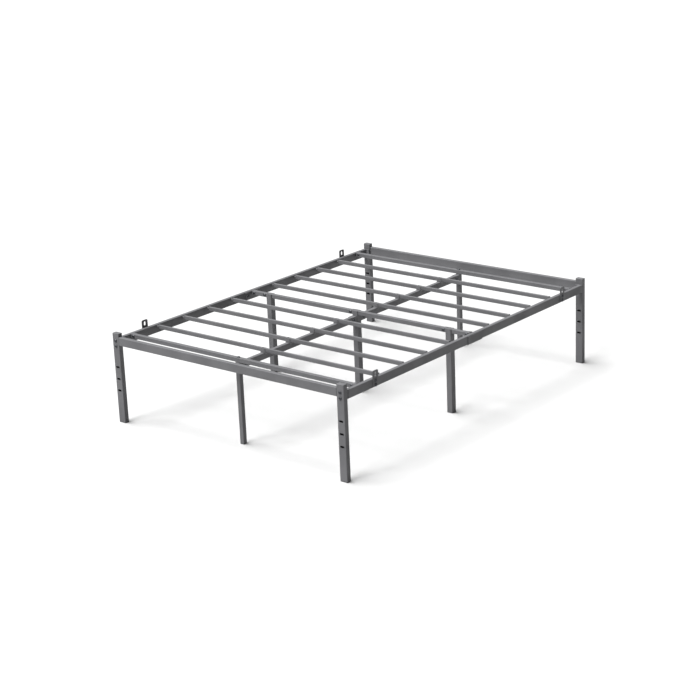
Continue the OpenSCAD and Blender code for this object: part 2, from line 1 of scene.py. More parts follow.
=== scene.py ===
"""Looks of a bolted steel platform bed frame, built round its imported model.

The steel tubes, plates and brackets stay as the model has them and get a powder-coat finish.
What is turned, forged, pressed or moulded on the real frame is made here as finished meshes: slats,
bolts, nuts, caps, glides, slat plugs, slat holders and mattress retainers, and the weld beads.
Everything is in metres, +Z up, with the origin on the floor under the middle of the frame.
"""

import json
import logging
import math
from dataclasses import dataclass, field
from enum import Enum

import bmesh
import bpy
from mathutils import Matrix, Vector


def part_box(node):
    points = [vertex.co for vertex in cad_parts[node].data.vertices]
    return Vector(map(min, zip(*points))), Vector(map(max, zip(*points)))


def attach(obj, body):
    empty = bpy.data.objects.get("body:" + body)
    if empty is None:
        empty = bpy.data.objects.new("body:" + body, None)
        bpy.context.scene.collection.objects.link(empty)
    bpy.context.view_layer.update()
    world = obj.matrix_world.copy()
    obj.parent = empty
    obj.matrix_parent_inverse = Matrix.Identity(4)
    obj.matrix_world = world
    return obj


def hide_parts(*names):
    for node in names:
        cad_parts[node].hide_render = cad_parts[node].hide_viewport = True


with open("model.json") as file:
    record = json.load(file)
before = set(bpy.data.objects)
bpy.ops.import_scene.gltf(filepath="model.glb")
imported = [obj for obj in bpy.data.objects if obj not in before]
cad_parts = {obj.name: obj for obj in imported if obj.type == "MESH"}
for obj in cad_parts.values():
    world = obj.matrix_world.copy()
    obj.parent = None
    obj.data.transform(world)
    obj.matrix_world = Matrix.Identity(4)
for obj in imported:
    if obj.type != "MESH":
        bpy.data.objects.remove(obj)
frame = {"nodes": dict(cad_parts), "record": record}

LOG = logging.getLogger("bed_frame")
BODY = "root"
MM = 0.001
SEED = 7
Point = tuple[float, float]
Loop = list[Vector]
Line = tuple[Vector, Vector]
Colour = tuple[float, float, float, float]


class Side(Enum):
    """Left and right of the bed, as the sign of X."""

    LEFT = -1
    RIGHT = 1


class End(Enum):
    """Foot and head of the bed, as the sign of Y."""

    FOOT = -1
    HEAD = 1


class Slot(Enum):
    """Material slots of the record."""

    POWDER_COAT = "powder_coat"
    JOINER_STEEL = "joiner_steel"
    GREY_PLASTIC = "grey_plastic"
    GREY_NYLON = "grey_nylon"
    BLACK_ZINC = "black_zinc"


CORNERS = [(side, end) for end in End for side in Side]
MID_NAMES = ("left", "centre", "right")
HEX_TURN = math.tau / 6


def corner_name(stem: str, side: Side, end: End) -> str:
    """Name of a corner's node, such as corner_leg_foot_left."""
    return f"{stem}_{end.name.lower()}_{side.name.lower()}"


# ---- finishes ----


def linear(hex_colour: str) -> Colour:
    """Turns an sRGB hex colour into the linear colour that a shader takes.

    Args:
        hex_colour: Six hex digits, with or without a leading #.

    Returns:
        Red, green, blue and an alpha of 1.
    """
    digits = hex_colour.lstrip("#")
    values = [int(digits[i : i + 2], 16) / 255 for i in (0, 2, 4)]
    rgb = [v / 12.92 if v <= 0.04045 else ((v + 0.055) / 1.055) ** 2.4 for v in values]
    return (rgb[0], rgb[1], rgb[2], 1.0)


def add(tree: bpy.types.NodeTree, kind: str, values: dict | tuple = (), **settings) -> bpy.types.Node:
    """Adds a node with its settings, its values and its links.

    Args:
        tree: The node tree to add to.
        kind: Blender's name of the node type.
        values: A value, or the output socket that feeds it, for each input: by input name or
            number, or in the order of the inputs.
        settings: Attributes to set on the node itself.

    Returns:
        The new node.
    """
    node = tree.nodes.new(kind)
    for key, value in settings.items():
        setattr(node, key, value)
    for key, value in values.items() if isinstance(values, dict) else enumerate(values):
        if isinstance(value, bpy.types.NodeSocket):
            tree.links.new(value, node.inputs[key])
        else:
            node.inputs[key].default_value = value
    return node


def per_metre(size_mm: float) -> float:
    """Noise scale, in cells a metre, that gives cells of about size_mm."""
    return 1.0 / (size_mm * MM)


@dataclass(frozen=True)
class Finish:
    """A surface finish, drawn in object coordinates only."""

    name: str

    def shade(self, tree: bpy.types.NodeTree, place: bpy.types.NodeSocket) -> bpy.types.Node:
        """Adds the finish's own nodes.

        Args:
            tree: The material's tree.
            place: Object coordinates.

        Returns:
            The surface shader.
        """
        raise NotImplementedError

    def make(self) -> bpy.types.Material:
        """Builds the material.

        Returns:
            A new material named after the finish.
        """
        material = bpy.data.materials.new(self.name)
        material.use_nodes = True
        tree = material.node_tree
        tree.nodes.clear()
        shader = self.shade(tree, add(tree, "ShaderNodeTexCoord").outputs["Object"])
        add(tree, "ShaderNodeOutputMaterial", {"Surface": shader.outputs["BSDF"]})
        return material


# A range node takes a value, where it starts and stops, and what it starts and stops at.
RANGE = "ShaderNodeMapRange"
SMOOTH = {"interpolation_type": "SMOOTHSTEP"}
# A colour mix takes its amount by name and its two colours by number.
MIX = "ShaderNodeMix"
NOISE = "ShaderNodeTexNoise"
CELLS = "ShaderNodeTexVoronoi"
BUMP = "ShaderNodeBump"


@dataclass(frozen=True)
class PowderCoat(Finish):
    """Polyester powder coat, sprayed and baked on drawn steel tube.

    It gives a dull, slightly pebbled skin: a soft sheen broken by fine orange peel, faint cloudy
    changes of thickness, and painted shade: darker lines along every sharp edge.
    """

    name: str = "powder_coated_steel"
    body: str = "#5a5a5c"
    cloud: str = "#535355"
    # Colour of the painted shade along the sharp edges, and of the dark grit speckles.
    edge: str = "#2b2b2c"
    rub: str = "#8b8b8d"
    roughness: float = 0.52
    ior: float = 1.4
    peel_mm: float = 2.4
    grit_mm: float = 0.9  # real grit is about 0.2 mm, drawn coarser so that it shows
    scuff_mm: float = 18.0
    cloud_mm: float = 140.0
    # How far the painted edge shade reaches from each sharp edge.
    edge_mm: float = 2.2
    peel_height_mm: float = 0.06
    grit_height_mm: float = 0.04

    def shade(self, tree: bpy.types.NodeTree, place: bpy.types.NodeSocket) -> bpy.types.Node:
        """Adds clouds, orange peel, grit, painted shade along the edges and rubbed spots on those edges.

        Args:
            tree: The material's tree.
            place: Object coordinates.

        Returns:
            The surface shader.
        """
        clouds = add(tree, NOISE, {"Vector": place, "Scale": per_metre(self.cloud_mm), "Detail": 3.0,
                                   "Roughness": 0.55}).outputs["Fac"]
        peel = add(tree, NOISE, {"Vector": place, "Scale": per_metre(self.peel_mm), "Detail": 1.0})
        grit = add(tree, CELLS, {"Vector": place, "Scale": per_metre(self.grit_mm), "Randomness": 1.0})
        scuffs = add(tree, NOISE, {"Vector": place, "Scale": per_metre(self.scuff_mm), "Detail": 4.0,
                                   "Roughness": 0.7}).outputs["Fac"]
        # Painted shade: this edge mask darkens the colour along every sharp edge, and it also places the
        # rubbed spots.
        rounded = add(tree, "ShaderNodeBevel", {"Radius": self.edge_mm * MM}, samples=4).outputs["Normal"]
        true_normal = add(tree, "ShaderNodeNewGeometry").outputs["True Normal"]
        turn = add(tree, "ShaderNodeVectorMath", (rounded, true_normal),
                   operation="DOT_PRODUCT").outputs["Value"]
        edge = add(tree, RANGE, (turn, 0.995, 0.86, 0.0, 0.85), **SMOOTH).outputs["Result"]
        scuffed = add(tree, RANGE, (scuffs, 0.60, 0.72, 0.0, 1.0), **SMOOTH).outputs["Result"]
        rubbed = add(tree, "ShaderNodeMath", (edge, scuffed), operation="MULTIPLY").outputs["Value"]
        cloudy = add(tree, RANGE, (clouds, 0.35, 0.7, 0.0, 1.0), **SMOOTH).outputs["Result"]
        speckled = add(tree, RANGE, (grit.outputs["Distance"], 0.1, 0.9, 0.0, 0.16), **SMOOTH)
        colour = linear(self.body)
        # The third layer is the painted edge shade.
        layers = ((cloudy, self.cloud), (speckled.outputs["Result"], self.edge), (edge, self.edge),
                  (rubbed, self.rub))
        for amount, over in layers:
            mixed = add(tree, MIX, {"Factor": amount, 6: colour, 7: linear(over)}, data_type="RGBA")
            colour = mixed.outputs[2]
        pebbles = add(tree, BUMP, {"Strength": 0.35, "Distance": self.peel_height_mm * MM,
                                   "Height": peel.outputs["Fac"], "Normal": rounded})
        grain = add(tree, BUMP, {"Strength": 0.25, "Distance": self.grit_height_mm * MM,
                                 "Height": grit.outputs["Distance"], "Normal": pebbles.outputs["Normal"]})
        dull = add(tree, RANGE, (clouds, 0.3, 0.75, self.roughness - 0.06, self.roughness + 0.08), **SMOOTH)
        return add(tree, "ShaderNodeBsdfPrincipled",
                   {"Base Color": colour, "Metallic": 0.0, "IOR": self.ior,
                    "Roughness": dull.outputs["Result"], "Normal": grain.outputs["Normal"]})


@dataclass(frozen=True)
class MouldedPlastic(Finish):
    """Injection-moulded dark grey plastic with a spark-eroded grain.

    It gives an even grey with a satin sheen, finer and softer than the paint beside it, with slow
    waves where the wall sank as it cooled.
    """

    body: str = "#565658"
    sheen: str = "#4f4f51"
    roughness: float = 0.48
    grain_mm: float = 0.7  # real grain is about 0.1 mm, drawn coarser so that it shows
    sink_mm: float = 14.0
    sink_height_mm: float = 0.2
    grain_height_mm: float = 0.05

    def shade(self, tree: bpy.types.NodeTree, place: bpy.types.NodeSocket) -> bpy.types.Node:
        """Adds the grain of the mould and the slow sink marks.

        Args:
            tree: The material's tree.
            place: Object coordinates.

        Returns:
            The surface shader.
        """
        cells = add(tree, CELLS, {"Vector": place, "Scale": per_metre(self.grain_mm), "Randomness": 1.0})
        grain = cells.outputs["Distance"]
        sink = add(tree, NOISE, {"Vector": place, "Scale": per_metre(self.sink_mm),
                                 "Detail": 1.5}).outputs["Fac"]
        sunk = add(tree, RANGE, (sink, 0.35, 0.7, 0.0, 1.0), **SMOOTH).outputs["Result"]
        colour = add(tree, MIX, {"Factor": sunk, 6: linear(self.body), 7: linear(self.sheen)},
                     data_type="RGBA")
        waves = add(tree, BUMP, {"Strength": 0.3, "Distance": self.sink_height_mm * MM, "Height": sink})
        pits = add(tree, BUMP, {"Strength": 0.4, "Distance": self.grain_height_mm * MM, "Height": grain,
                                "Normal": waves.outputs["Normal"]})
        dull = add(tree, RANGE, (grain, 0.0, 1.0, self.roughness, self.roughness + 0.12), **SMOOTH)
        return add(tree, "ShaderNodeBsdfPrincipled",
                   {"Base Color": colour.outputs[2], "Metallic": 0.0, "IOR": 1.5,
                    "Roughness": dull.outputs["Result"], "Normal": pits.outputs["Normal"]})


@dataclass(frozen=True)
class BlackZinc(Finish):
    """Forged steel fasteners, barrel-plated with zinc and passivated black.

    It gives a dark metal that still mirrors a little, patchy from tumbling against its neighbours,
    with bright bare spots where the plating is thin.
    """

    name: str = "black_zinc_plated_steel"
    body: str = "#4a4b4e"
    bare: str = "#8e9094"
    roughness: float = 0.36
    patch_mm: float = 5.0
    pit_mm: float = 0.8
    pit_depth_mm: float = 0.05

    def shade(self, tree: bpy.types.NodeTree, place: bpy.types.NodeSocket) -> bpy.types.Node:
        """Adds patches of thin plating and small pits.

        Args:
            tree: The material's tree.
            place: Object coordinates.

        Returns:
            The surface shader.
        """
        patches = add(tree, NOISE, {"Vector": place, "Scale": per_metre(self.patch_mm),
                                    "Detail": 3.0}).outputs["Fac"]
        pits = add(tree, NOISE, {"Vector": place, "Scale": per_metre(self.pit_mm), "Detail": 2.0})
        thin = add(tree, RANGE, (patches, 0.58, 0.78, 0.0, 0.7), **SMOOTH).outputs["Result"]
        colour = add(tree, MIX, {"Factor": thin, 6: linear(self.body), 7: linear(self.bare)},
                     data_type="RGBA")
        dents = add(tree, BUMP, {"Strength": 0.3, "Distance": self.pit_depth_mm * MM,
                                 "Height": pits.outputs["Fac"]})
        dull = add(tree, RANGE, (patches, 0.3, 0.8, self.roughness, self.roughness + 0.16), **SMOOTH)
        return add(tree, "ShaderNodeBsdfPrincipled",
                   {"Base Color": colour.outputs[2], "Metallic": 1.0,
                    "Roughness": dull.outputs["Result"], "Normal": dents.outputs["Normal"]})


@dataclass(frozen=True)
class PaleFloor(Finish):
    """Studio floor paper, matt pale grey, which the strong light turns white."""

    name: str = "matt_studio_paper"
    body: str = "#a5a5a5"
    mottle: str = "#a1a1a1"

    def shade(self, tree: bpy.types.NodeTree, place: bpy.types.NodeSocket) -> bpy.types.Node:
        """Adds a very faint mottle.

        Args:
            tree: The material's tree.
            place: Object coordinates.

        Returns:
            The surface shader.
        """
        mottle = add(tree, NOISE, {"Vector": place, "Scale": 1.5, "Detail": 2.0})
        colour = add(tree, MIX, {"Factor": mottle.outputs["Fac"], 6: linear(self.body),
                                 7: linear(self.mottle)}, data_type="RGBA")
        return add(tree, "ShaderNodeBsdfPrincipled", {"Base Color": colour.outputs[2], "Roughness": 0.85})


# ---- mesh work ----


def rounded_rectangle(width: float, depth: float, radius: float, steps: int = 5) -> list[Point]:
    """Points of a rounded rectangle, anticlockwise round the origin.

    Args:
        width: Size along X.
        depth: Size along Y.
        radius: Corner radius, kept just under half the smaller side.
        steps: Faces round each corner.

    Returns:
        Four corners of steps + 1 points each.
    """
    r = min(radius, 0.49 * width, 0.49 * depth)
    points = []
    for corner, (sx, sy) in enumerate(((1, 1), (-1, 1), (-1, -1), (1, -1))):
        for step in range(steps + 1):
            angle = math.radians(90 * (corner + step / steps))
            points.append((sx * (width / 2 - r) + r * math.cos(angle),
                           sy * (depth / 2 - r) + r * math.sin(angle)))
    return points


def in_scene(name: str, data: bpy.types.ID | None) -> bpy.types.Object:
    """Adds an object to the scene.

    Args:
        name: The object's name.
        data: Its mesh, camera or light.

    Returns:
        The new object, at the origin.
    """
    thing = bpy.data.objects.new(name, data)
    bpy.context.scene.collection.objects.link(thing)
    return thing


def block(width: float, depth: float, shrink: float, radius: float, z: float) -> Loop:
    """Rounded rectangle at height z, smaller by shrink than width by depth.

    Args:
        width: Size along X before it shrinks.
        depth: Size along Y before it shrinks.
        shrink: How much smaller it is, both ways.
        radius: Corner radius.
        z: Height.

    Returns:
        The loop.
    """
    return at(rounded_rectangle(width - shrink, depth - shrink, radius), z)


def circle(radius: float, count: int) -> list[Point]:
    """Points of a circle, anticlockwise from +X."""
    turns = [2 * math.pi * i / count for i in range(count)]
    return [(radius * math.cos(a), radius * math.sin(a)) for a in turns]


def hexagon(across_flats: float, count: int) -> list[Point]:
    """Points of a hexagon, count in all, anticlockwise from a corner on +X.

    Args:
        across_flats: Distance between opposite sides.
        count: Number of points, a multiple of six.

    Returns:
        Points at even angles, on the hexagon's sides.
    """
    points = []
    for i in range(count):
        angle = 2 * math.pi * i / count
        off_side = (angle % (math.pi / 3)) - math.pi / 6
        reach = across_flats / 2 / math.cos(off_side)
        points.append((reach * math.cos(angle), reach * math.sin(angle)))
    return points


def at(outline: list[Point], z: float) -> Loop:
    """An outline lifted to height z."""
    return [Vector((x, y, z)) for x, y in outline]


class Shell:
    """A mesh in the making, closed shell by closed shell."""

    def __init__(self) -> None:
        """Starts an empty mesh."""
        self.mesh = bmesh.new()

    def loft(self, loops: list[Loop], closed: bool = False) -> "Shell":
        """Skins loops of the same number of points.

        Args:
            loops: The loops in order.
            closed: True joins the last loop to the first, as round a ring. False caps both ends.

        Returns:
            This shell.
        """
        rows = [[self.mesh.verts.new(point) for point in loop] for loop in loops]
        pairs = list(zip(rows, rows[1:] + rows[:1])) if closed else list(zip(rows, rows[1:]))
        count = len(rows[0])
        for low, high in pairs:
            for i in range(count):
                j = (i + 1) % count
                self.mesh.faces.new((low[i], low[j], high[j], high[i]))
        if not closed:
            self.mesh.faces.new(list(reversed(rows[0])))
            self.mesh.faces.new(rows[-1])
        return self

    def extrude(self, outline: list[Point], low: float, high: float) -> "Shell":
        """Adds an outline in XZ, drawn out along Y from low to high."""
        return self.loft([[Vector((x, y, z)) for x, z in outline] for y in (low, high)])

    def soften(self, width: float, segments: int = 2, sharper_than: float = 40.0) -> "Shell":
        """Rounds the edges that turn by more than an angle.

        Args:
            width: How far the rounding reaches from the edge.
            segments: Faces across the rounding.
            sharper_than: Angle in degrees.

        Returns:
            This shell.
        """
        limit = math.radians(sharper_than)
        self.mesh.normal_update()
        edges = [e for e in self.mesh.edges if len(e.link_faces) == 2 and e.calc_face_angle(0) > limit]
        bmesh.ops.bevel(self.mesh, geom=edges, offset=width, segments=segments, profile=0.5,
                        affect="EDGES", clamp_overlap=True)
        return self

    def finish(self, name: str) -> bpy.types.Object:
        """Turns the shell into an object with outward faces.

        Args:
            name: The object's name.

        Returns:
            A new object at the origin, not yet riding on anything.
        """
        bmesh.ops.remove_doubles(self.mesh, verts=self.mesh.verts[:], dist=0.002 * MM)
        bmesh.ops.recalc_face_normals(self.mesh, faces=self.mesh.faces[:])
        data = bpy.data.meshes.new(name)
        self.mesh.to_mesh(data)
        self.mesh.free()
        data.shade_smooth()
        data.set_sharp_from_angle(angle=math.radians(32))
        return in_scene(name, data)


@dataclass(frozen=True)
class Place:
    """Where one copy of a piece goes: its own +Z points along out and its +Y along up."""

    at: Vector
    out: Vector = field(default_factory=lambda: Vector((0, 0, 1)))
    up: Vector = field(default_factory=lambda: Vector((0, 1, 0)))

    def turn(self) -> Vector:
        """Euler angles that turn the piece into place."""
        across = self.up.cross(self.out)
        return Vector(Matrix((across, self.up, self.out)).transposed().to_euler())


X_AXIS, Y_AXIS, Z_AXIS = Vector((1, 0, 0)), Vector((0, 1, 0)), Vector((0, 0, 1))


# ---- geometry nodes ----


def new_tree(name: str, inputs: dict[str, str]) -> tuple[bpy.types.NodeTree, bpy.types.Node]:
    """Starts a geometry tree with named inputs.

    Args:
        name: The tree's name.
        inputs: Input name to socket type, after the geometry itself.

    Returns:
        The tree and its input node.
    """
    tree = bpy.data.node_groups.new(name, "GeometryNodeTree")
    tree.is_modifier = True
    tree.interface.new_socket("Geometry", in_out="INPUT", socket_type="NodeSocketGeometry")
    for label, kind in inputs.items():
        tree.interface.new_socket(label, in_out="INPUT", socket_type=kind)
    tree.interface.new_socket("Geometry", in_out="OUTPUT", socket_type="NodeSocketGeometry")
    return tree, tree.nodes.new("NodeGroupInput")


def finish_tree(tree: bpy.types.NodeTree, given: bpy.types.Node, shape: bpy.types.NodeSocket) -> None:
    """Ends a tree in real geometry with the finish on it."""
    real = add(tree, "GeometryNodeRealizeInstances", {"Geometry": shape})
    dressed = add(tree, "GeometryNodeSetMaterial",
                  {"Geometry": real.outputs["Geometry"], "Material": given.outputs["Finish"]})
    add(tree, "NodeGroupOutput", {"Geometry": dressed.outputs["Geometry"]})


def placing_tree() -> bpy.types.NodeTree:
    """Tree that sets a copy of a piece on each point, turned as the point says.

    Returns:
        A tree with the inputs Piece, Twist, Seed and Finish. Each copy is also turned about its own
        axis by a random angle up to Twist, as screws come to rest at any angle.
    """
    tree, given = new_tree("set_on_points", {
        "Piece": "NodeSocketObject", "Twist": "NodeSocketFloat", "Seed": "NodeSocketInt",
        "Finish": "NodeSocketMaterial"})
    source = add(tree, "GeometryNodeObjectInfo", {"Object": given.outputs["Piece"]},
                 transform_space="ORIGINAL")
    stored = add(tree, "GeometryNodeInputNamedAttribute", {"Name": "turn"}, data_type="FLOAT_VECTOR")
    turn = add(tree, "FunctionNodeEulerToRotation", {0: stored.outputs[0]})
    chance = add(tree, "FunctionNodeRandomValue", {"Seed": given.outputs["Seed"]}, data_type="FLOAT")
    angle = add(tree, "ShaderNodeMath", {0: chance.outputs[1], 1: given.outputs["Twist"]},
                operation="MULTIPLY")
    about_z = add(tree, "ShaderNodeCombineXYZ", {"Z": angle.outputs["Value"]})
    twist = add(tree, "FunctionNodeEulerToRotation", {0: about_z.outputs["Vector"]})
    both = add(tree, "FunctionNodeRotateRotation",
               {0: turn.outputs[0], 1: twist.outputs[0]}, rotation_space="LOCAL")
    points = add(tree, "GeometryNodeMeshToPoints", {"Mesh": given.outputs["Geometry"]})
    copies = add(tree, "GeometryNodeInstanceOnPoints",
                 {"Points": points.outputs["Points"], "Instance": source.outputs["Geometry"],
                  "Rotation": both.outputs[0]})
    finish_tree(tree, given, copies.outputs["Instances"])
    return tree


def bead_tree() -> bpy.types.NodeTree:
    """Tree that lays a weld bead, ripple on ripple, along the edges of a mesh.

    Returns:
        A tree with the inputs Ripple pitch, Bead radius, Seed and Finish.
    """
    tree, given = new_tree("lay_weld_bead", {
        "Ripple pitch": "NodeSocketFloat", "Bead radius": "NodeSocketFloat", "Seed": "NodeSocketInt",
        "Finish": "NodeSocketMaterial"})
    path = add(tree, "GeometryNodeMeshToCurve", {"Mesh": given.outputs["Geometry"]})
    points = add(tree, "GeometryNodeCurveToPoints",
                 {"Curve": path.outputs["Curve"], "Length": given.outputs["Ripple pitch"]}, mode="LENGTH")
    drop = add(tree, "GeometryNodeMeshUVSphere",
               {"Segments": 10, "Rings": 6, "Radius": given.outputs["Bead radius"]})
    size = add(tree, "FunctionNodeRandomValue",
               {"Seed": given.outputs["Seed"], 0: (0.85, 0.85, 0.45), 1: (1.1, 1.1, 0.6)},
               data_type="FLOAT_VECTOR")
    ripples = add(tree, "GeometryNodeInstanceOnPoints",
                  {"Points": points.outputs["Points"], "Instance": drop.outputs["Mesh"],
                   "Rotation": points.outputs["Rotation"], "Scale": size.outputs[0]})
    smooth = add(tree, "GeometryNodeSetShadeSmooth", {"Geometry": ripples.outputs["Instances"]})
    finish_tree(tree, given, smooth.outputs["Geometry"])
    return tree


def run_tree(carrier: bpy.types.Object, tree: bpy.types.NodeTree, inputs: dict[str, object],
             name: str) -> bpy.types.Object:
    """Runs a tree on a carrier and keeps its result as a plain mesh.

    Args:
        carrier: The object whose mesh the tree starts from. It is used up.
        tree: The geometry tree.
        inputs: Input name to value.
        name: Name of the result.

    Returns:
        A new object at the origin with the finished mesh.
    """
    modifier = carrier.modifiers.new(tree.name, "NODES")
    modifier.node_group = tree
    for item in tree.interface.items_tree:
        if item.item_type == "SOCKET" and item.in_out == "INPUT" and item.name in inputs:
            modifier[item.identifier] = inputs[item.name]
    bpy.context.view_layer.update()
    seen = carrier.evaluated_get(bpy.context.evaluated_depsgraph_get())
    data = bpy.data.meshes.new_from_object(seen)
    carrier.modifiers.remove(modifier)
    bpy.data.objects.remove(carrier)
    data.name = name
    return in_scene(name, data)


# ---- the workshop: what every sub-assembly needs ----


class Workshop:
    """Finishes, trees and the steps that every piece goes through."""

    def __init__(self) -> None:
        """Makes each finish and tree once."""
        self.finishes = {
            Slot.POWDER_COAT: PowderCoat().make(),
            Slot.JOINER_STEEL: PowderCoat(name="dip_coated_steel", body="#3a3a3b", cloud="#333334",
                                          rub="#5c5c5e", roughness=0.42, peel_mm=5.0).make(),
            Slot.GREY_PLASTIC: MouldedPlastic("moulded_grey_polyethylene").make(),
            Slot.GREY_NYLON: MouldedPlastic("moulded_grey_nylon", body="#535355", sheen="#4c4c4e",
                                             roughness=0.40, sink_mm=9.0).make(),
            Slot.BLACK_ZINC: BlackZinc().make(),
        }
        # The weld beads take a lighter colour for the painted edge shade, which would otherwise darken
        # their small ripples all over.
        self.bead_finish = PowderCoat(name="powder_coated_weld_bead", edge="#4c4c4e").make()
        self.placing = placing_tree()
        self.beads = bead_tree()

    def dress_model(self) -> None:
        """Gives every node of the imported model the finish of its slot."""
        slots = {row["node"]: row["material_slot"] for row in frame["record"]["subparts"]}
        for name, node in frame["nodes"].items():
            finish = self.finishes[Slot(slots[name])]
            if not node.material_slots:
                node.data.materials.append(finish)
            for material_slot in node.material_slots:
                material_slot.material = finish

    def spread(self, name: str, source: bpy.types.Object, places: list[Place], slot: Slot,
               twist: float = 0.0) -> bpy.types.Object:
        """Sets a copy of a piece at each place, and keeps them as one mesh.

        Args:
            name: Name of the result.
            source: The piece to copy. It is used up.
            places: Where the copies go.
            slot: Slot whose finish they wear.
            twist: Largest random turn about their own axis, in radians.

        Returns:
            One object that holds every copy.
        """
        data = bpy.data.meshes.new(name + "_points")
        data.from_pydata([place.at for place in places], [], [])
        turns = data.attributes.new("turn", "FLOAT_VECTOR", "POINT")
        turns.data.foreach_set("vector", [angle for place in places for angle in place.turn()])
        inputs = {"Piece": source, "Twist": twist, "Seed": SEED, "Finish": self.finishes[slot]}
        piece = run_tree(in_scene(name + "_points", data), self.placing, inputs, name)
        bpy.data.objects.remove(source)
        return piece

    def weld(self, name: str, lines: list[Line], radius: float,
             pitch: float) -> bpy.types.Object:
        """Lays a weld bead along each line.

        Args:
            name: Name of the result.
            lines: Start and end of each bead.
            radius: Half the bead's width.
            pitch: Distance between ripples.

        Returns:
            One object that holds every bead.
        """
        points = [point for line in lines for point in line]
        edges = [(2 * i, 2 * i + 1) for i in range(len(lines))]
        data = bpy.data.meshes.new(name + "_lines")
        data.from_pydata(points, edges, [])
        inputs = {"Ripple pitch": pitch, "Bead radius": radius, "Seed": SEED, "Finish": self.bead_finish}
        return run_tree(in_scene(name + "_lines", data), self.beads, inputs, name)

    def join(self, name: str, pieces: list[bpy.types.Object]) -> bpy.types.Object:
        """Joins pieces of one finish into one object.

        Args:
            name: Name of the result.
            pieces: The pieces, which are used up.

        Returns:
            One object at the origin.
        """
        whole = bmesh.new()
        for piece in pieces:
            whole.from_mesh(piece.data)
        data = pieces[0].data.copy()
        whole.to_mesh(data)
        whole.free()
        for piece in pieces:
            bpy.data.objects.remove(piece)
        data.name = name
        return in_scene(name, data)

    def fit(self, name: str, source: bpy.types.Object, places: list[Place], slot: Slot,
            stands_for: list[str], twist: float = 0.0) -> None:
        """Sets a copy of a piece at each place and hands the result over.

        Args:
            name: Name of the result.
            source: The piece to copy. It is used up.
            places: Where the copies go.
            slot: Slot whose finish they wear.
            stands_for: Names of the model's nodes that they replace.
            twist: Largest random turn about their own axis, in radians.
        """
        self.hand_over(self.spread(name, source, places, slot, twist), slot, stands_for)

    def hand_over(self, piece: bpy.types.Object, slot: Slot, stands_for: list[str]) -> None:
        """Makes a piece ride on the frame and stand for its nodes.

        Args:
            piece: The finished piece.
            slot: The record's slot that the piece belongs to; not used.
            stands_for: Names of the model's nodes that it replaces.
        """
        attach(piece, BODY)
        if stands_for:
            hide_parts(*stands_for)
        LOG.info("%s: %d faces, stands for %s", piece.name, len(piece.data.polygons),
                 ", ".join(stands_for) or "nothing in the model")


def middle(node: str) -> Vector:
    """Middle of a node's box."""
    low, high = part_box(node)
    return (low + high) / 2


def face(node: str, axis: str, sign: int) -> float:
    """Where a node's box ends along an axis, on the side that sign points to."""
    return getattr(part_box(node)[1 if sign > 0 else 0], axis)


def size_of(node: str) -> Vector:
    """Size of a node's box."""
    low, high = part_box(node)
    return high - low


# ---- sub-assemblies ----


